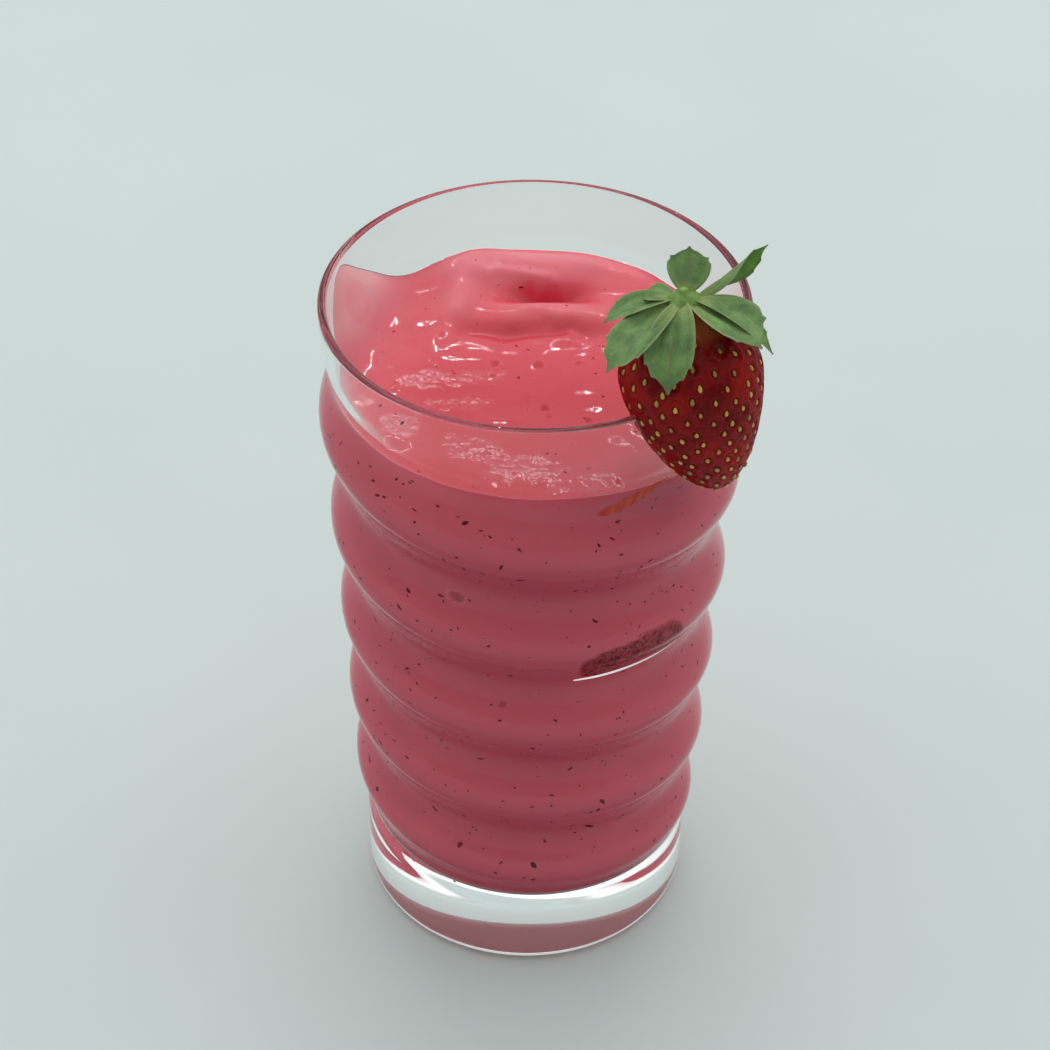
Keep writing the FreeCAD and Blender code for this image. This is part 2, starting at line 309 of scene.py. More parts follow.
class Shader:
    """A node material built by name; a socket given to a node is linked, anything else is set."""

    def __init__(self, name):
        self.material = bpy.data.materials.new(name)
        self.material.use_nodes = True
        self.tree = self.material.node_tree
        self.tree.nodes.clear()

    def node(self, kind, settings=None, **sockets):
        made = self.tree.nodes.new(kind)
        for key, value in (settings or {}).items():
            setattr(made, key, value)
        for key, value in sockets.items():
            self.put(made, key, value)
        return made

    def put(self, made, key, value):
        key = key.replace("_", " ")
        by_number = key[0] == "i" and key[1:].isdigit()
        socket = made.inputs[int(key[1:]) if by_number else key]
        if isinstance(value, bpy.types.NodeSocket):
            self.tree.links.new(value, socket)
        else:
            socket.default_value = value

    def attribute(self, name):
        return self.node("ShaderNodeAttribute", {"attribute_name": name}).outputs["Fac"]

    def place(self):
        return self.node("ShaderNodeTexCoord").outputs["Object"]

    def noise(self, scale, detail=3.0, roughness=0.55, distortion=0.0):
        made = self.node(
            "ShaderNodeTexNoise",
            Vector=self.place(),
            Scale=scale,
            Detail=detail,
            Roughness=roughness,
            Distortion=distortion,
        )
        return made.outputs["Fac"]

    def spots(self, scale):
        made = self.node("ShaderNodeTexVoronoi", Vector=self.place(), Scale=scale)
        return made.outputs["Distance"]

    def band(self, value, low, high, to_low=0.0, to_high=1.0):
        made = self.node(
            "ShaderNodeMapRange",
            {"interpolation_type": "SMOOTHSTEP"},
            i0=value,
            i1=low,
            i2=high,
            i3=to_low,
            i4=to_high,
        )
        return made.outputs[0]

    def math(self, operation, a, b=0.0):
        return self.node("ShaderNodeMath", {"operation": operation}, i0=a, i1=b).outputs[0]

    def mix(self, share, a, b):
        made = self.node("ShaderNodeMix", {"data_type": "RGBA"})
        self.put(made, "i0", share)
        for index, value in ((6, a), (7, b)):
            if isinstance(value, bpy.types.NodeSocket):
                self.tree.links.new(value, made.inputs[index])
            else:
                made.inputs[index].default_value = (*value, 1.0)
        return made.outputs[2]

    def mix_number(self, share, a, b):
        made = self.node("ShaderNodeMix", {"data_type": "FLOAT"}, i0=share, i2=a, i3=b)
        return made.outputs[0]

    def bump(self, height, strength, distance):
        made = self.node("ShaderNodeBump", Height=height, Strength=strength, Distance=distance)
        return made.outputs["Normal"]

    def principled(self, **sockets):
        """Finish the material as a Principled surface."""
        return self.finish(self.node("ShaderNodeBsdfPrincipled", **sockets).outputs[0])

    def finish(self, surface):
        out = self.node("ShaderNodeOutputMaterial")
        self.tree.links.new(surface, out.inputs["Surface"])
        return self.material


# colours, in linear red, green and blue
GLASS_TINT, PLAIN_GLASS_TINT = (0.965, 0.985, 0.977, 1), (0.985, 0.993, 0.99, 1)
GLASS_SHADOW_TINT = (0.93, 0.955, 0.945, 1)
PINK, LIGHTER_PINK = (0.74, 0.062, 0.098), (0.80, 0.078, 0.118)
LIGHT_FLECK, DARK_FLECK = (0.70, 0.12, 0.15), (0.46, 0.025, 0.04)
FROTH_AND_SHEEN_PINK, HAZED_WALL_PINK = (0.80, 0.26, 0.31), (0.74, 0.130, 0.190)
BACKLIT_PINK, PAINTED_LIGHT_PINK, SHADED_PINK = (0.95, 0.40, 0.43), (1.0, 0.42, 0.47), (0.60, 0.024, 0.048)
HOLLOW_SHADE_DARK, HOLLOW_SHADE_LIGHT = (0.20, 0.003, 0.010), (0.50, 0.040, 0.066)
THROWN_BACK = (0.97, 0.98, 0.975)
SKIN_DARK, SKIN_RED, SKIN_MOTTLE = (0.14, 0.002, 0.003), (0.33, 0.007, 0.006), (0.42, 0.03, 0.03)
SKIN_DIMPLE, SKIN_NECK = (0.16, 0.012, 0.006), (0.62, 0.16, 0.06)
SEED_DARK, SEED_GOLD, SEED_MOTTLE = (0.30, 0.16, 0.02), (0.80, 0.42, 0.07), (0.30, 0.10, 0.02)
LEAF_DARK, LEAF_LIGHT, LEAF_FIBRE = (0.042, 0.135, 0.017), (0.20, 0.39, 0.080), (0.23, 0.36, 0.11)
LEAF_MIDRIB, LEAF_BASE, LEAF_EDGE = (0.16, 0.13, 0.07), (0.34, 0.42, 0.10), (0.36, 0.36, 0.18)
LEAF_TIP, LEAF_UNDERSIDE = (0.40, 0.16, 0.10), (0.25, 0.31, 0.17)
RED_BITS = (0.12, 0.004, 0.008), (0.40, 0.012, 0.016)
DARK_BITS = (0.085, 0.010, 0.016), (0.26, 0.020, 0.032)
SLIVER = (0.72, 0.035, 0.018), (0.93, 0.14, 0.055)
HIGHLIGHT_TINT, HIGHLIGHT_WHITE, HIGHLIGHT_GLOW = (0.97, 0.93, 0.94), (1.0, 1.0, 1.0), (1.0, 0.96, 0.97, 1)
TABLE_DARK, TABLE_LIGHT = (0.63, 0.69, 0.68), (0.65, 0.71, 0.70)
ROOM_COLOUR, LAMP_COLOUR = (0.945, 1.0, 0.99, 1), (0.97, 1.0, 0.99)
GLASS_IOR, WALL_IOR = 1.5, 0.9


def glass_material():
    shader = Shader("clear_glass")
    body = shader.node(
        "ShaderNodeBsdfPrincipled",
        Base_Color=GLASS_TINT,
        Roughness=0.0,
        IOR=GLASS_IOR,
        Transmission_Weight=1.0,
    )
    # less of the room shows where a face is looked at squarely or leans down to its own foot
    plain = shader.node(
        "ShaderNodeBsdfRefraction", Color=PLAIN_GLASS_TINT, Roughness=0.0, IOR=GLASS_IOR
    )
    normal = shader.node("ShaderNodeNewGeometry").outputs["Normal"]
    parts = shader.node("ShaderNodeSeparateXYZ", Vector=normal)
    leaning = shader.band(parts.outputs[2], 0.02, -0.24, 0.34, 0.78)
    fresnel = shader.node("ShaderNodeFresnel", IOR=GLASS_IOR).outputs[0]
    square = shader.math("MULTIPLY", shader.band(fresnel, 0.10, 0.30, 1.0, 0.0), leaning)
    faced = shader.node("ShaderNodeMixShader", i0=square, i1=body.outputs[0], i2=plain.outputs[0])
    clear = shader.node("ShaderNodeBsdfTransparent", Color=GLASS_SHADOW_TINT)
    shadow = shader.node("ShaderNodeLightPath").outputs["Is Shadow Ray"]
    mixed = shader.node("ShaderNodeMixShader", i0=shadow, i1=faced.outputs[0], i2=clear.outputs[0])
    return shader.finish(mixed.outputs[0])


def milkshake_material():
    shader = Shader("milkshake_pink")
    foam, wet = shader.attribute("foam"), shader.attribute("wet")
    broad = shader.noise(55, 3, 0.5, 0.6)
    fine = shader.noise(700, 4, 0.6)
    colour = shader.mix(shader.band(broad, 0.35, 0.7), PINK, LIGHTER_PINK)
    colour = shader.mix(shader.band(fine, 0.60, 0.80, 0.0, 0.25), colour, LIGHT_FLECK)
    colour = shader.mix(shader.band(fine, 0.40, 0.24, 0.0, 0.35), colour, DARK_FLECK)
    bubbles = shader.spots(1150)
    froth = shader.math("MULTIPLY", foam, shader.band(bubbles, 0.25, 0.6))
    # the froth patches are lighter: partly the froth's own colour, partly a painted sheen
    colour = shader.mix(shader.math("MULTIPLY", froth, 0.6), colour, FROTH_AND_SHEEN_PINK)
    # partly the milkshake's own tone against the wall, partly a painted reflection: the glass's
    # haze painted in as a paler pink
    colour = shader.mix(shader.math("MULTIPLY", wet, 0.85), colour, HAZED_WALL_PINK)
    # painted light: where the milkshake is swept thin up the wall it is lightened as if lit
    # through from behind
    colour = shader.mix(shader.attribute("thin"), colour, BACKLIT_PINK)
    # painted light: the bowl's middle, the rims of the small hollows and the higher parts of the
    # top are lightened
    colour = shader.mix(shader.attribute("pale"), colour, PAINTED_LIGHT_PINK)
    colour = shader.mix(shader.attribute("shade"), colour, SHADED_PINK)
    # painted shade inside the hollows of the side, mottled
    mottle = shader.band(shader.noise(900, 3, 0.6, 1.2), 0.42, 0.58)
    hollow = shader.mix(mottle, HOLLOW_SHADE_DARK, HOLLOW_SHADE_LIGHT)
    colour = shader.mix(shader.attribute("hollow_shade"), colour, hollow)
    # against the wall, light that comes in flatter than the critical angle is thrown back
    thrown = shader.node("ShaderNodeFresnel", IOR=WALL_IOR).outputs[0]
    mirror = shader.math("MULTIPLY", shader.band(thrown, 0.1, 1.0), wet)
    relief = shader.math("MULTIPLY", shader.math("MULTIPLY", foam, bubbles), 3.0)
    pores = shader.math("MULTIPLY", shader.band(shader.spots(620), 0.05, 0.22), 0.9)
    height = shader.math("ADD", shader.math("ADD", shader.noise(500, 2, 0.5), pores), relief)
    height = shader.math("MULTIPLY", height, shader.mix_number(wet, 1.0, 0.0))
    return shader.principled(
        Base_Color=shader.mix(mirror, colour, THROWN_BACK),
        Metallic=mirror,
        Roughness=shader.mix_number(mirror, shader.mix_number(foam, 0.045, 0.16), 0.0),
        Specular_IOR_Level=shader.mix_number(wet, 0.45, 0.0),
        Subsurface_Weight=0.3,
        Subsurface_Radius=(1.0, 0.25, 0.2),
        Subsurface_Scale=0.003,
        Normal=shader.bump(height, 0.2, 0.0001),
    )


def berry_material():
    shader = Shader("strawberry_skin")
    broad = shader.noise(130, 3, 0.55, 0.4)
    fine = shader.noise(1300, 3, 0.6)
    near_seed = shader.band(shader.attribute("seed_distance"), 1.0, 0.45, 0.0, 0.8)
    near_neck = shader.band(shader.attribute("neck"), 0.0, 1.0, 0.0, 0.7)
    colour = shader.mix(shader.band(broad, 0.3, 0.7), SKIN_DARK, SKIN_RED)
    colour = shader.mix(shader.band(fine, 0.5, 0.75, 0.0, 0.35), colour, SKIN_MOTTLE)
    colour = shader.mix(near_seed, colour, SKIN_DIMPLE)
    return shader.principled(
        Base_Color=shader.mix(near_neck, colour, SKIN_NECK),
        Roughness=0.3,
        Specular_IOR_Level=0.0,
        Coat_Weight=0.2,
        Coat_Roughness=0.04,
        Subsurface_Weight=0.12,
        Subsurface_Radius=(1.0, 0.2, 0.1),
        Subsurface_Scale=0.0015,
        Normal=shader.bump(shader.noise(2200, 2, 0.5), 0.25, 0.00008),
    )


def seed_material():
    shader = Shader("strawberry_seeds")
    colour = shader.mix(shader.attribute("tone"), SEED_DARK, SEED_GOLD)
    mottle = shader.band(shader.noise(3000, 2), 0.45, 0.7, 0.0, 0.4)
    colour = shader.mix(mottle, colour, SEED_MOTTLE)
    return shader.principled(Base_Color=colour, Roughness=0.38, Coat_Weight=0.3)


def leaf_material():
    shader = Shader("leaf_green")
    along, across = shader.attribute("along"), shader.attribute("across")
    broad = shader.noise(260, 4, 0.6, 0.5)
    combined = shader.node(
        "ShaderNodeCombineXYZ",
        X=shader.math("MULTIPLY", across, 16.0),
        Y=shader.math("MULTIPLY", along, 5.0),
    )
    fibres = shader.node(
        "ShaderNodeTexNoise", Scale=1.0, Detail=3.0, Vector=combined.outputs[0]
    ).outputs["Fac"]
    from_midrib = shader.math("ABSOLUTE", across)
    colour = shader.mix(shader.band(broad, 0.3, 0.72), LEAF_DARK, LEAF_LIGHT)
    colour = shader.mix(shader.band(fibres, 0.5, 0.75, 0.0, 0.6), colour, LEAF_FIBRE)
    colour = shader.mix(shader.band(from_midrib, 0.10, 0.0, 0.0, 0.55), colour, LEAF_MIDRIB)
    colour = shader.mix(shader.band(along, 0.34, 0.02, 0.0, 0.9), colour, LEAF_BASE)
    colour = shader.mix(shader.band(from_midrib, 0.88, 1.0, 0.0, 0.5), colour, LEAF_EDGE)
    colour = shader.mix(shader.band(along, 0.93, 1.0, 0.0, 0.7), colour, LEAF_TIP)
    underside = shader.math("MULTIPLY", shader.attribute("under"), 0.35)
    height = shader.math("ADD", fibres, shader.noise(1500, 2, 0.5))
    return shader.principled(
        Base_Color=shader.mix(underside, colour, LEAF_UNDERSIDE),
        Roughness=0.36,
        Specular_IOR_Level=0.28,
        Normal=shader.bump(height, 0.8, 0.0002),
    )


def bits_material(name, dark, light):
    """Small bits of fruit and seed, each with its own tone."""
    shader = Shader(name)
    colour = shader.mix(shader.attribute("tone"), dark, light)
    colour = shader.mix(shader.band(shader.noise(2500, 2), 0.4, 0.7, 0.0, 0.3), colour, dark)
    return shader.principled(Base_Color=colour, Roughness=0.45, Specular_IOR_Level=0.0)


def painted_highlight_material():
    """Painted highlight with a glow: light thrown back by the glass along the edge of a hollow."""
    shader = Shader("hollow_edge_highlight")
    colour = shader.mix(shader.noise(600, 2), HIGHLIGHT_TINT, HIGHLIGHT_WHITE)
    return shader.principled(
        Base_Color=colour, Roughness=0.3, Emission_Color=HIGHLIGHT_GLOW, Emission_Strength=0.5
    )


def floor_material():
    shader = Shader("pale_table")
    patches = shader.band(shader.noise(9, 3, 0.5), 0.3, 0.7)
    colour = shader.mix(patches, TABLE_DARK, TABLE_LIGHT)
    return shader.principled(Base_Color=colour, Roughness=0.6)


# ---------------------------------------------------------------- tumbler


def make_glass():
    turns = whole_turn(GLASS_COLUMNS)
    quarter = np.linspace(0, math.pi / 2, 10)
    rows = []

    def add(z, inset, follow):
        rows.append(on_wall(z, turns, inset, follow))

    for radius in (4.0, 12.0, 20.0, 26.0, 30.0):
        add(0.0, FOOT_RADIUS - radius, 1.0)
    for a in quarter:
        add(HEEL_ROUND * (1 - math.cos(a)), HEEL_ROUND * (1 - math.sin(a)), 1.0)
    heights = np.arange(HEEL_ROUND + GLASS_ROW_STEP, HEIGHT - RIM_ROUND, GLASS_ROW_STEP)
    for z in heights:
        add(z, 0.0, 1.0)
    for a in quarter:
        add(HEIGHT - RIM_ROUND + RIM_ROUND * math.sin(a), RIM_ROUND * (1 - math.cos(a)), 1.0)
    for a in quarter[::-1]:
        z = HEIGHT - RIM_ROUND + RIM_ROUND * math.sin(a)
        add(z, wall_at(z) - RIM_ROUND * (1 - math.cos(a)), RIB_INSIDE_SHARE)
    for z in heights[::-1]:
        if z > BOWL_TOP + 0.3:
            add(z, wall_at(z), RIB_INSIDE_SHARE)
    for share in BOWL_STEPS[::-1]:
        rows.append(bowl_point(share, turns))
    piece = turned_body("tumbler", np.array(rows), (0, 0, 0), (0, 0, BOWL_LOW))
    return finish_piece(piece, glass_material(), "glass", "glass")


# ---------------------------------------------------------------- milkshake

# Hollows in the milkshake's side, painted dark as shade behind the wall: middle height, middle
# turn, half reach up and round, slope of its long side, and how square its ends are.
HOLLOWS = [
    (87.0, 31.8, 4.6, 19.2, 0.03, 4),
    (102.7, -20.8, 1.1, 3.0, -0.16, 2),
    (76.0, -5.6, 0.85, 1.5, 0.0, 2),
]
# pits in the top: x, y and radius
PITS = [
    (-18.5, 11.5, 0.7),
    (-7.7, 4.5, 0.8),
    (0.9, 4.3, 0.9),
    (8.8, 5.0, 0.6),
    (2.2, -9.6, 0.8),
    (3.0, -12.4, 0.6),
    (10.7, -13.0, 0.7),
    (-0.9, -10.2, 0.4),
    (-8.0, 0.5, 0.6),
    (17.5, -4.0, 0.5),
    (-27.0, -6.0, 0.5),
    (-3.0, 16.0, 0.35),
    (14.0, 10.0, 0.4),
]
# patches of froth, lighter partly by a painted sheen, on the top: middle, reach along and across,
# turn
FOAM = [
    ((-17.0, -1.0), (11.0, 3.2), 12.0),
    ((-15.0, -9.0), (9.5, 2.6), 4.0),
    ((-12.0, -22.0), (7.5, 4.0), -20.0),
    ((-1.5, -28.0), (9.5, 4.2), 8.0),
    ((-26.0, -16.0), (4.5, 3.6), 0.0),
    ((10.0, -31.5), (7.0, 2.2), 14.0),
]


def top_height(x, y):
    """The milkshake's top without its meniscus."""
    height = FILL_LEVEL
    for amount, middle, reach, turn in SWELLS:
        height = height + amount * swell(x, y, middle, reach, turn)
    bent_x = x + 1.2 * lattice_noise(x, y, 7.0, 13) + 0.4 * lattice_noise(x, y, 2.6, 14)
    bent_y = y + 1.4 * lattice_noise(x, y, 6.0, 15) + 0.5 * lattice_noise(x, y, 2.4, 16)
    for amount, middle, reach, turn in FOLDS:
        height = height + amount * swell(bent_x, bent_y, middle, reach, turn)
    height = height + 0.30 * lattice_noise(x, y, 9.0, 3) + 0.10 * lattice_noise(x, y, 4.0, 5)
    height = height + 0.012 * lattice_noise(x, y, 1.5, 8)
    froth = foam_at(x, y)
    height = height + froth * 0.10 * lattice_noise(x, y, 0.9, 11)
    for px, py, radius in PITS:
        reach = np.hypot(x - px, y - py) / radius
        height = height - 0.9 * radius * np.exp(-(reach**2) * 1.6)
        height = height + 0.16 * radius * np.exp(-(((reach - 1.45) / 0.35) ** 2))
    return height


def shaded_at(x, y):
    """Painted shade in the fold's hollow, in the furrow before the mound and towards the front."""
    hollow = 0.85 * swell(x, y, (2.0, 26.8), (6.6, 2.0), 4.0)
    furrow = 0.75 * swell(x, y, (1.0, 14.4), (17.0, 2.6), 2.0)
    front = 0.8 * smoothstep(-y, -16.0, 6.0) * smoothstep(x, -34.0, -14.0)
    return np.maximum(np.maximum(hollow, furrow), front)


def swept(points):
    """Where the milkshake is swept up the wall on the left: 1 at the wall, 0 away from it."""
    return smoothstep(-points[:, 0], 22.0, 34.0)


def foam_at(x, y):
    share = np.zeros_like(x)
    for middle, reach, turn in FOAM:
        edge = 1 + 0.6 * lattice_noise(x + 40, y, 3.1, 21)
        edge = edge + 0.35 * lattice_noise(x, y + 40, 1.2, 22)
        share = np.maximum(share, smoothstep(swell(x, y, middle, reach, turn) * edge, 0.35, 0.55))
    return share


def hollow_at(z, turn):
    """1 inside the hollows of the milkshake's side, 0 outside, and 1 on their outline, where a
    painted light rim goes.
    """
    inside = outline = np.zeros(np.broadcast(z, turn).shape)
    degrees = (np.degrees(turn) + 180) % 360 - 180
    for number, (middle_z, middle_turn, up, around, slope, square) in enumerate(HOLLOWS):
        depth, edge_start = (0.6, 0.35) if number else (1.0, 0.72)
        dz = (z - middle_z - slope * (degrees - middle_turn)) / up
        dt = (degrees - middle_turn) / around
        edge = 1 + 0.12 * lattice_noise(degrees, z, 2.6, 31) * (number == 0)
        reach = (np.abs(dz) ** max(2, square - 1) + np.abs(dt) ** square) * edge
        inside = np.maximum(inside, depth * (1 - smoothstep(reach, edge_start, 1.0)))
        if number:
            outline = np.maximum(outline, np.exp(-(((reach - 1.25) / 0.22) ** 2)))
    return inside, outline


def make_milkshake():
    front = np.radians(np.linspace(-90, 90, MILKSHAKE_FRONT_COLUMNS + 1)[:-1])
    back = np.radians(np.linspace(90, 270, MILKSHAKE_BACK_COLUMNS + 1)[:-1])
    turns = np.concatenate([front, back])
    contact = np.full(len(turns), FILL_LEVEL)
    for _ in range(12):
        edge = inner_wall(contact, turns, -INTO_WALL)
        contact = 0.5 * contact + 0.5 * (top_height(edge[:, 0], edge[:, 1]) + MENISCUS_RISE)
    rows = []
    layers = {name: [] for name in ("foam", "wet", "thin", "hollow_shade", "pale", "shade")}

    def add(points, **marks):
        """Add a row of points; what isn't marked on it is 0."""
        rows.append(points)
        # mark for the painted backlight on the milkshake swept thin up the wall
        high = smoothstep(points[:, 2], FILL_LEVEL + 3.0, FILL_LEVEL + 9.0)
        marks["thin"] = high * swept(points)
        for name, layer in layers.items():
            layer.append(np.broadcast_to(marks.get(name, 0.0), len(turns)))

    for share in BOWL_STEPS:
        # painted light on the bowl towards its middle
        pale = 1 - smoothstep(share, 0.72, 0.96)
        add(bowl_point(share, turns, INTO_WALL), wet=1.0, pale=pale)
    low = BOWL_TOP
    # rows up the wall: a start, an end and a step for each stretch, closer at the hollows
    stretches = ((26.1, 74.5, 1.1), (74.5, 77.5, 0.5), (77.5, 81.5, 1.0), (81.5, 92.5, 0.45))
    stretches += ((92.5, 101, 1.1), (101, 105, 0.5), (105, 127, 1.1), (127, FILL_LEVEL, 0.5))
    heights = np.concatenate([np.arange(*stretch) for stretch in stretches] + [[FILL_LEVEL]])
    for share in (heights - low) / (FILL_LEVEL - low):
        z = low + (contact - low) * share
        inside, outline = hollow_at(z, turns)
        points = inner_wall(z, turns, HOLLOW_DEPTH * inside - INTO_WALL)
        # painted shade inside the hollows and a painted light rim round the small ones
        add(points, wet=1.0, hollow_shade=inside, pale=0.16 * outline)
    edge = inner_wall(contact, turns, -INTO_WALL)
    for share in 1 - np.linspace(0, 1, MILKSHAKE_TOP_ROWS + 2)[1:-1] ** 1.15:
        x, y = edge[:, 0] * share, edge[:, 1] * share
        gap = np.hypot(edge[:, 0] - x, edge[:, 1] - y)
        z = top_height(x, y) + MENISCUS_RISE * np.exp(-gap / MENISCUS_REACH)
        # painted light: the top is lightened where it stands higher, as if lit from behind
        pale = 0.34 * smoothstep(z - FILL_LEVEL, 0.0, 5.0)
        add(np.stack([x, y, z], -1), foam=foam_at(x, y), pale=pale, shade=shaded_at(x, y))
    centre = np.zeros(1)
    low_centre = (0, 0, BOWL_LOW - INTO_WALL)
    top_centre = (0, 0, float(top_height(centre, centre)[0]))
    # the two centres come last; the lower one is wet and has the painted light of the floor round
    # it
    attributes = {
        name: np.concatenate([*layer, [1 if name in ("wet", "pale") else 0, 0]])
        for name, layer in layers.items()
    }
    piece = turned_body("milkshake_body", np.array(rows), low_centre, top_centre, attributes)
    finish_piece(piece, milkshake_material(), "milkshake", "milkshake")
    return contact, turns


# ---------------------------------------------------------------- strawberry


def rotation(axis, degrees):
    return np.array(Matrix.Rotation(math.radians(degrees), 3, axis))


def berry_frame():
    """Rotation and place of the berry's own frame: its neck at the origin, -Z towards its tip."""
    middle = RIM_RADIUS - RIM_WALL / 2
    radius = middle - BERRY_ABOVE_RIM * math.tan(math.radians(BERRY_TILT))
    around = rotation("Z", BERRY_ANGLE)
    place = around @ np.array([0, -radius, HEIGHT + BERRY_ABOVE_RIM])
    return around @ rotation("X", -BERRY_TILT), place


def from_berry(points):
    turn, place = berry_frame()
    return np.asarray(points) @ turn.T + place


def berry_radius_at(share):
    share = np.asarray(share, float)
    upper = 0.25 + 0.75 * np.sin(math.pi / 2 * np.clip(share / 0.35, 0, 1))
    lower = (1 - np.clip((share - 0.35) / 0.65, 0, 1) ** 1.6) ** 0.62
    return BERRY_RADIUS * np.where(share < 0.35, upper, lower)


def berry_skin(share, turn, lift=0.0):
    """Points of the smooth skin in the berry's own frame."""
    share, turn = np.broadcast_arrays(np.asarray(share, float), np.asarray(turn, float))
    radius = berry_radius_at(share) + lift
    x = BERRY_BEND * share**2 + radius * np.cos(turn)
    y = BERRY_FLATNESS * radius * np.sin(turn)
    return np.stack([x, y, -BERRY_LENGTH * share], -1)


def skin_frame(share, turn):
    """Point, outward normal and direction to the tip at a place on the skin."""
    step = 1e-3
    point = berry_skin(share, turn)
    down = berry_skin(np.minimum(share + step, 0.9995), turn) - berry_skin(share - step, turn)
    round_ = berry_skin(share, turn + step) - berry_skin(share, turn - step)
    down /= np.linalg.norm(down, axis=-1, keepdims=True)
    round_ /= np.linalg.norm(round_, axis=-1, keepdims=True)
    normal = np.cross(down, round_)
    return point, normal / np.linalg.norm(normal, axis=-1, keepdims=True), down


def seed_places():
    """Where the seeds sit: a sunflower spiral, evenly spread and closer together at the tip."""
    random = np.random.default_rng(12)
    share = np.linspace(0.0, 1.0, 2001)
    weight = berry_radius_at(share) * (0.9 + 0.9 * share**2) + 0.8
    weight[share < 0.05] = 0
    total = np.cumsum(weight) / np.sum(weight)
    index = np.arange(SEED_COUNT)
    placed = np.interp((index + 0.5) / SEED_COUNT, total, share)
    turn = index * math.radians(137.508) + random.normal(0, 0.045, SEED_COUNT)
    placed = np.clip(placed + random.normal(0, 0.004, SEED_COUNT), 0.04, 0.985)
    return placed, turn, random


def make_berry():
    seed_share, seed_turn, random = seed_places()
    seats, normals, tips = skin_frame(seed_share, seed_turn)
    sides = np.cross(normals, tips)
    shares = np.sin(np.linspace(0.0, math.pi / 2, BERRY_ROWS)) ** 1.25 * 0.9985
    turns = whole_turn(BERRY_COLUMNS)
    rows = np.array([berry_skin(s, turns) for s in shares])
    flat = rows.reshape(-1, 3)
    nearest = np.full(len(flat), 9.0)
    tip_share = np.repeat(shares, len(turns))
    for seat, side, tip in zip(seats, sides, tips):
        away = flat - seat
        near = np.flatnonzero(np.einsum("ij,ij->i", away, away) < 9.0)
        along = away[near] @ tip
        across = away[near] @ side
        reach = np.sqrt((along / 1.3) ** 2 + across**2)
        nearest[near] = np.minimum(nearest[near], reach)
    shallow = 1 - 0.45 * smoothstep(tip_share, 0.55, 0.95)
    sink = 0.62 * np.exp(-((nearest / 0.78) ** 2))
    sink = sink - 0.16 * np.exp(-(((nearest - 1.35) / 0.45) ** 2))
    sink = sink * shallow * smoothstep(tip_share, 0.01, 0.06)
    _, skin_normals, _ = skin_frame(np.clip(tip_share, 0.002, 0.998), np.tile(turns, len(shares)))
    flat = flat - skin_normals * (sink + 0.16)[:, None]
    rows = from_berry(flat).reshape(len(shares), len(turns), 3)[:, ::-1]
    nearest = nearest.reshape(len(shares), -1)[:, ::-1].ravel()
    attributes = {
        "seed_distance": np.concatenate([nearest, [9, 9]]),
        "neck": np.concatenate([1 - smoothstep(tip_share, 0.03, 0.16), [1, 0]]),
    }
    top = from_berry([[0, 0, 0]])[0]
    bottom = from_berry([[BERRY_BEND, 0, -BERRY_LENGTH]])[0]
    piece = turned_body("strawberry_flesh", rows, top, bottom, attributes)
    finish_piece(piece, berry_material(), "strawberry", "strawberry")

    # seeds: drops with their point towards the berry's neck
    rings, around = 9, 12
    u = np.linspace(0, math.pi, rings + 2)[1:-1]
    v = whole_turn(around)
    points, quads, triangles, tones = [], [], [], []
    for index in range(SEED_COUNT):
        size = random.uniform(0.9, 1.12)
        long, wide, high = 0.67 * size, 0.42 * size, 0.28 * size
        lean = random.normal(0, 0.12)
        tip = tips[index] * math.cos(lean) + sides[index] * math.sin(lean)
        side = np.cross(normals[index], tip)
        drop = np.sin(u) * (0.62 + 0.38 * (1 - np.cos(u)) / 2 + 0.15 * np.sin(u))
        local = (
            (-long * np.cos(u))[:, None, None] * tip
            + (wide * drop)[:, None, None] * np.cos(v)[None, :, None] * side
            + (high * drop)[:, None, None] * np.sin(v)[None, :, None] * normals[index]
        )
        proud = 0.14 + 0.18 * smoothstep(seed_share[index], 0.6, 0.95)
        dimple = 0.56 * (1 - 0.45 * (seed_share[index] > 0.75))
        seat = seats[index] + normals[index] * (proud - dimple)
        ends = from_berry(np.array([seat - tip * long, seat + tip * long]))
        body = from_berry(local.reshape(-1, 3) + seat)
        add_lump((points, quads, triangles), body, ends, rings, around)
        tones.extend([random.uniform(0, 1)] * (rings * around + 2))
    seeds = add_mesh("strawberry_seeds", points, quads, triangles, {"tone": tones})
    finish_piece(seeds, seed_material(), "strawberry")


# ---------------------------------------------------------------- leaves


def sepal_path(number, form, steps):
    """Midrib of a sepal in the berry's frame: its points, ways forward and ways up."""
    angle, length, _, base_lift, tip_lift = form
    around = rotation("Z", angle)
    outward, side = around @ np.array([0, -1.0, 0]), around @ np.array([1.0, 0, 0])
    knots = 7
    step = length / (knots - 1)
    layer = 0.6 + 0.9 * (number % 2)
    place = outward * (0.55 * HUB_RADIUS) + np.array([0, 0, layer * SEPAL_THICKNESS])
    points = []
    for index in range(knots):
        points.append(place)
        lift = math.radians(base_lift + (tip_lift - base_lift) * index / (knots - 1))
        place = place + (outward * math.cos(lift) + np.array([0, 0, math.sin(lift)])) * step
        share = min(max(-place[2] / BERRY_LENGTH, 0.0), 1.0)
        reach = math.hypot(place[0], place[1])
        skin = float(berry_radius_at(share)) + 1.3 * SEPAL_THICKNESS
        if place[2] <= 0 and reach < skin:
            place = np.array([place[0] * skin / reach, place[1] * skin / reach, place[2]])
    points = np.array(points)
    at = np.linspace(0, knots - 1, steps)
    curve = np.stack([cubic(at, points[:, axis]) for axis in range(3)], -1)
    forward = np.gradient(curve, axis=0)
    forward /= np.linalg.norm(forward, axis=1, keepdims=True)
    up = np.cross(np.broadcast_to(side, forward.shape), forward)
    return curve, side, up


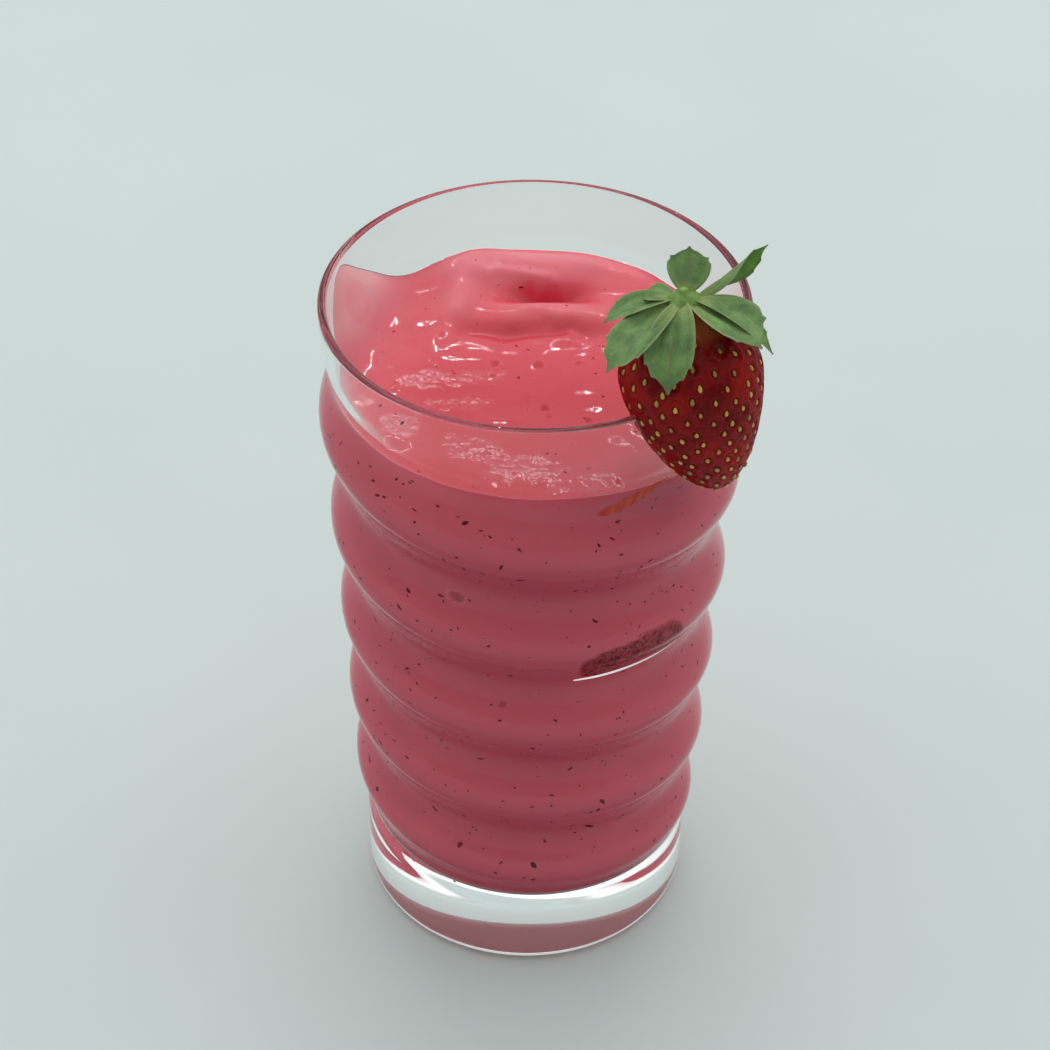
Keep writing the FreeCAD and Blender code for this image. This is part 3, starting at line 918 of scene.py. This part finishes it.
def cubic(at, values):
    """Catmull-Rom interpolation of values at whole numbers."""
    padded = np.concatenate([[2 * values[0] - values[1]], values, [2 * values[-1] - values[-2]]])
    index = np.clip(np.floor(at).astype(int), 0, len(values) - 2)
    t = at - index
    a, b, c, d = (padded[index + k] for k in range(4))
    square, cube = 2 * a - 5 * b + 4 * c - d, 3 * b - a - 3 * c + d
    return 0.5 * (2 * b + (c - a) * t + square * t**2 + cube * t**3)


def make_leaves():
    steps, columns = SEPAL_ROWS, SEPAL_COLUMNS
    points, quads, along, across, under = [], [], [], [], []
    random = np.random.default_rng(7)
    for number, form in enumerate(SEPALS):
        curve, side, up = sepal_path(number, form, steps)
        share = np.linspace(0, 1, steps)
        half = form[2] / 2 * (0.22 + 0.78 * np.sin(math.pi * np.minimum(1, 0.86 * share)) ** 0.8)
        half *= 1 - 0.9 * smoothstep(share, 0.74, 1.0) ** 1.3
        tooth = ((share * 7.3 + random.uniform()) % 1.0) ** 2
        half *= 1 - 0.22 * (1 - tooth) * smoothstep(share, 0.62, 0.80)
        w = np.linspace(-1, 1, columns)
        cup = SEPAL_CUPS.get(number, SEPAL_CUP)
        if number == ROLLED_SEPAL:
            half *= 0.8
        shift = random.uniform(-1, 1)
        offsets = []
        for s, width in zip(share, half):
            lift = cup * width * w**2
            lift = lift + 0.16 * np.cos(w * 3.5 * math.pi) * math.sin(math.pi * min(1, s * 1.1))
            lift = lift + 0.35 * math.sin(3.0 * s + shift * 3) * w * width * 0.18
            offsets.append(lift)
        offsets = np.array(offsets)
        twist = (2.5 if number == ROLLED_SEPAL else 0.3 * shift) * (share**1.5)[:, None, None]
        sides = side[None, None, :] * np.cos(twist) + up[:, None, :] * np.sin(twist)
        ups = up[:, None, :] * np.cos(twist) - side[None, None, :] * np.sin(twist)
        for layer in (1, -1):
            thick = 0.17 * (1 - 0.4 * share)[:, None] * np.sqrt(np.clip(1 - w**8, 0, 1))[None, :]
            grid = (
                curve[:, None, :]
                + sides * (half[:, None] * w[None, :])[:, :, None]
                + ups * (offsets + layer * thick)[:, :, None]
            )
            first = len(points)
            points.extend(from_berry(grid.reshape(-1, 3)))
            i, j = np.meshgrid(np.arange(steps - 1), np.arange(columns - 1), indexing="ij")
            k = first + i * columns + j
            cell = [k, k + 1, k + columns + 1, k + columns]
            quads.extend(np.stack(cell if layer == 1 else cell[::-1], -1).reshape(-1, 4))
            along.extend(np.repeat(share, columns))
            across.extend(np.tile(w, steps))
            under.extend([0.0 if layer == 1 else 1.0] * (steps * columns))
    # hub: a low dome with the stub of the stalk
    turns = whole_turn(HUB_COLUMNS)
    first = len(points)
    for radius, z in HUB:
        bumpy = radius * (1 + 0.05 * np.sin(turns * 9))
        ring = [bumpy * np.cos(turns), bumpy * np.sin(turns), np.full(HUB_COLUMNS, z)]
        points.extend(from_berry(np.stack(ring, -1)))
        along.extend([0.22] * HUB_COLUMNS)
        across.extend([0.5] * HUB_COLUMNS)
        under.extend([0.0] * HUB_COLUMNS)
    quads.extend(ring_faces(len(HUB), HUB_COLUMNS, first))
    points.extend(from_berry([[0, 0, HUB[-1][1]], [0, 0, 0]]))
    along.extend([0, 0])
    across.extend([0.5, 0.5])
    under.extend([0, 0])
    cap = fan(HUB_COLUMNS, first + HUB_COLUMNS * (len(HUB) - 1), len(points) - 2, False)
    foot = fan(HUB_COLUMNS, first, len(points) - 1, True)
    attributes = {"along": along, "across": across, "under": under}
    leaves = add_mesh("strawberry_leaves", points, quads, np.concatenate([cap, foot]), attributes)
    finish_piece(leaves, leaf_material(), "leaf", "strawberry_calyx")


# ---------------------------------------------------------------- bits in the milkshake


def scatter(name, places, ups, alongs, sizes, material, slot):
    """One piece of many small lumps: each a squashed ball with a bent outline and its own tone."""
    rings, around = 5, 8
    random = np.random.default_rng(len(places))
    u = np.linspace(0, math.pi, rings + 2)[1:-1]
    v = whole_turn(around)
    points, quads, triangles, tones = [], [], [], []
    for place, up, along, (long, wide, high) in zip(places, ups, alongs, sizes):
        side = np.cross(up, along)
        bend = random.uniform(-0.5, 0.5)
        wobble = 1 + 0.25 * np.sin(v * 2 + random.uniform(0, 6))
        wobble = wobble + 0.12 * np.sin(v * 3 + random.uniform(0, 6))
        girth = np.sin(u)[:, None]
        x = -long * np.cos(u)[:, None] + 0 * v[None, :]
        y = wide * girth * (np.cos(v) * wobble)[None, :] + bend * wide * girth**2
        z = high * girth * np.sin(v)[None, :]
        local = x[..., None] * along + y[..., None] * side + z[..., None] * up
        ends = [place - along * long, place + along * long]
        add_lump((points, quads, triangles), local.reshape(-1, 3) + place, ends, rings, around)
        tones.extend([random.uniform(0, 1)] * (rings * around + 2))
    piece = add_mesh(name, points, quads, triangles, {"tone": tones})
    return finish_piece(piece, material, slot)


def wall_bits(count, seed, low, high, contact, turns):
    """Places at the wall, a hair proud of the milkshake, with their normals and lie."""
    random = np.random.default_rng(seed)
    turn = random.uniform(-math.pi, math.pi, count)
    positive = turns % (2 * math.pi)
    order = np.argsort(positive)
    limit = np.interp(turn % (2 * math.pi), positive[order], contact[order])
    z = low + (np.minimum(limit - 1.5, high) - low) * random.uniform(0, 1, count) ** 0.85
    keep = hollow_at(z, turn)[0] < 0.01
    turn, z = turn[keep], z[keep]
    place = inner_wall(z, turn, -INTO_WALL)
    step = 1e-3
    round_ = inner_wall(z, turn + step, -INTO_WALL) - inner_wall(z, turn - step, -INTO_WALL)
    lift = step * 30
    rise = inner_wall(z + lift, turn, -INTO_WALL) - inner_wall(z - lift, turn, -INTO_WALL)
    round_ /= np.linalg.norm(round_, axis=1, keepdims=True)
    rise /= np.linalg.norm(rise, axis=1, keepdims=True)
    up = np.cross(round_, rise)
    up /= np.linalg.norm(up, axis=1, keepdims=True)
    lean = random.normal(0, 0.7, len(z))[:, None]
    along = round_ * np.cos(lean) + np.cross(up, round_) * np.sin(lean)
    return place, up, along, random


def bit_sizes(random, count, middle, spread, longest, width, height):
    """Half length, half width and half height of each of many bits."""
    return [
        (s * random.uniform(*longest), s * width, height)
        for s in middle * random.lognormal(0, spread, count)
    ]


def make_bits(contact, turns):
    low, high = 18.0, 150.0
    place, up, along, random = wall_bits(RED_COUNT, 40, low, high, contact, turns)
    sizes = bit_sizes(random, len(place), 0.21, 0.42, (0.8, 1.9), 0.6, 0.12)
    red = bits_material("fruit_red", *RED_BITS)
    scatter("fruit_bits_red", place, up, along, sizes, red, "milkshake")
    place, up, along, random = wall_bits(DARK_COUNT, 41, low, high, contact, turns)
    sizes = bit_sizes(random, len(place), 0.32, 0.3, (0.9, 1.6), 0.75, 0.12)
    dark = bits_material("fruit_dark", *DARK_BITS)
    scatter("fruit_bits_dark", place, up, along, sizes, dark, "milkshake")
    make_sliver()
    # a painted highlight along the long hollow's low edge
    make_painted_highlight()
    random = np.random.default_rng(42)
    radius = 36 * np.sqrt(random.uniform(0, 1, TOP_COUNT))
    angle = random.uniform(0, 2 * math.pi, TOP_COUNT)
    x, y = radius * np.cos(angle), radius * np.sin(angle)
    places = np.stack([x, y, top_height(x, y)], -1)
    ups = np.tile([0.0, 0.0, 1.0], (TOP_COUNT, 1))
    heading = random.uniform(0, math.pi, TOP_COUNT)
    alongs = np.stack([np.cos(heading), np.sin(heading), np.zeros(TOP_COUNT)], -1)
    sizes = bit_sizes(random, TOP_COUNT, 0.15, 0.5, (0.9, 1.8), 0.7, 0.08)
    scatter("fruit_bits_top", places, ups, alongs, sizes, red, "milkshake")


def make_sliver():
    """A thin sliver of strawberry flesh lying against the wall, just under the top."""
    along = np.linspace(0, 1, SLIVER_ROWS)
    turn = np.radians(np.interp(along, [0, 0.3, 0.65, 1], [21.0, 27.5, 34.8, 41.0]))
    height = np.interp(along, [0, 0.3, 0.65, 1], [125.6, 126.4, 127.8, 129.4])
    half = 1.45 * np.sin(math.pi * np.clip(along * 0.96 + 0.02, 0, 1)) ** 0.7
    half *= 1 + 0.3 * lattice_noise(along * 60, along, 4.0, 51)
    around = whole_turn(SLIVER_COLUMNS)
    rows = [
        inner_wall(z + h * np.cos(around), t, -0.22 - 0.20 * np.sin(around))
        for z, t, h in zip(height, turn, half)
    ]
    rows = np.array(rows)
    tone = np.repeat(0.5 + 0.5 * lattice_noise(along * 60, along, 3.0, 52), SLIVER_COLUMNS)
    tone = {"tone": np.append(tone, [0, 0])}
    piece = turned_body("fruit_sliver", rows, rows[0].mean(0), rows[-1].mean(0), tone)
    finish_piece(piece, bits_material("fruit_flesh", *SLIVER), "milkshake")


def make_painted_highlight():
    """A painted highlight along the low edge of the long hollow: a thin glowing strip for the
    light thrown back there.
    """
    along = np.linspace(0, 1, HIGHLIGHT_ROWS)
    turn = np.radians(13.2 + 37.4 * along)
    height = np.interp(along, [0, 0.25, 0.5, 0.8, 1], [82.2, 82.3, 82.5, 82.7, 83.3])
    half = 0.62 * np.sin(math.pi * np.clip(along * 0.98 + 0.01, 0, 1)) ** 0.35
    around = whole_turn(HIGHLIGHT_COLUMNS)
    rows = [
        inner_wall(z + h * np.cos(around), t, -INTO_WALL - 0.02 - 0.6 * h * np.sin(around))
        for z, t, h in zip(height, turn, half)
    ]
    rows = np.array(rows)
    piece = turned_body("painted_hollow_highlight", rows, rows[0].mean(0), rows[-1].mean(0))
    finish_piece(piece, painted_highlight_material(), "milkshake")


# ---------------------------------------------------------------- stage

FLOOR_LEVEL, FLOOR_RADII = -0.2, (80, 300, 1200, 4000)
# the room's brightness from low to high and from the front to the back: start, end, dim, bright
ROOM_FADES = ((2, (0.1, 0.9, 0.66, 1.2)), (1, (-0.75, 0.35, 0.52, 1.0)))
# lamps, in metres
LAMP_COUNT, LAMP_FIRST_X, LAMP_STEP, LAMP_Y, LAMP_Z = 26, -0.92, 0.07, 1.52, 1.95
LAMP_SIZE, LAMP_BRIGHTNESS, LAMP_AIM = 0.016, 370.0, (0, 0, 0.12)
# camera, in millimetres and degrees
CAMERA_PLACE, CAMERA_TARGET = (-1.234, -468.872, 481.213), (-1.234, 0.0, 93.277)
CAMERA_SENSOR, CAMERA_LENS, CAMERA_ROLL = 36.0, 102.06, 0.997


def light_room(tree):
    """A pale room round the table, brighter overhead and dimmer in front."""
    place = tree.nodes.new("ShaderNodeTexCoord")
    parts = tree.nodes.new("ShaderNodeSeparateXYZ")
    tree.links.new(place.outputs["Generated"], parts.inputs[0])
    fades = []
    for axis, limits in ROOM_FADES:
        fade = tree.nodes.new("ShaderNodeMapRange")
        fade.interpolation_type = "SMOOTHSTEP"
        for index, value in enumerate(limits):
            fade.inputs[index + 1].default_value = value
        tree.links.new(parts.outputs[axis], fade.inputs[0])
        fades.append(fade)
    both = tree.nodes.new("ShaderNodeMath")
    both.operation = "MULTIPLY"
    for index, fade in enumerate(fades):
        tree.links.new(fade.outputs[0], both.inputs[index])
    background = tree.nodes["Background"]
    background.inputs[0].default_value = ROOM_COLOUR
    tree.links.new(both.outputs[0], background.inputs[1])


def make_stage():
    ring = whole_turn(FLOOR_COLUMNS)
    level = np.full(FLOOR_COLUMNS, FLOOR_LEVEL)
    rows = [np.stack([r * np.cos(ring), r * np.sin(ring), level], -1) for r in FLOOR_RADII]
    points = np.concatenate([np.array(rows).reshape(-1, 3), [[0, 0, FLOOR_LEVEL]]])
    quads = ring_faces(len(FLOOR_RADII), FLOOR_COLUMNS)[:, ::-1]
    floor = add_mesh("table_top", points, quads, fan(FLOOR_COLUMNS, 0, len(points) - 1, False))
    floor.data.materials.append(floor_material())

    world = bpy.data.worlds.new("room")
    bpy.context.scene.world = world
    world.use_nodes = True
    light_room(world.node_tree)

    # a row of small round lamps high up behind; brightness is what white filled by one shows
    for index in range(LAMP_COUNT):
        data = bpy.data.lights.new(f"strip_{index:02d}", "AREA")
        data.shape = "DISK"
        data.size = LAMP_SIZE
        data.energy = LAMP_BRIGHTNESS * math.pi * LAMP_SIZE * LAMP_SIZE
        data.color = LAMP_COLOUR
        made = bpy.data.objects.new(data.name, data)
        place = Vector((LAMP_FIRST_X + LAMP_STEP * index, LAMP_Y, LAMP_Z))
        made.location = place
        made.rotation_euler = (Vector(LAMP_AIM) - place).to_track_quat("-Z", "Y").to_euler()
        bpy.context.scene.collection.objects.link(made)


def make_camera():
    data = bpy.data.cameras.new("camera")
    data.sensor_width = CAMERA_SENSOR
    data.lens = CAMERA_LENS
    data.clip_end = 50
    place = Vector(CAMERA_PLACE) * MM
    target = Vector(CAMERA_TARGET) * MM
    forward = (target - place).normalized()
    right = forward.cross(Vector((0, 0, 1))).normalized()
    up = right.cross(forward)
    roll = math.radians(CAMERA_ROLL)
    right, up = (
        right * math.cos(roll) + up * math.sin(roll),
        up * math.cos(roll) - right * math.sin(roll),
    )
    camera = bpy.data.objects.new("camera", data)
    camera.matrix_world = Matrix((right, up, -forward)).transposed().to_4x4()
    camera.location = place
    bpy.context.scene.collection.objects.link(camera)
    bpy.context.scene.camera = camera


make_camera()
make_stage()
make_glass()
contact, turns = make_milkshake()
make_berry()
make_leaves()
make_bits(contact, turns)

light_paths = bpy.context.scene.cycles
light_paths.max_bounces = 12
light_paths.glossy_bounces = 24
light_paths.transmission_bounces = 24
light_paths.transparent_max_bounces = 16
bpy.context.scene.view_settings.view_transform = "Standard"
bpy.context.view_layer.update()
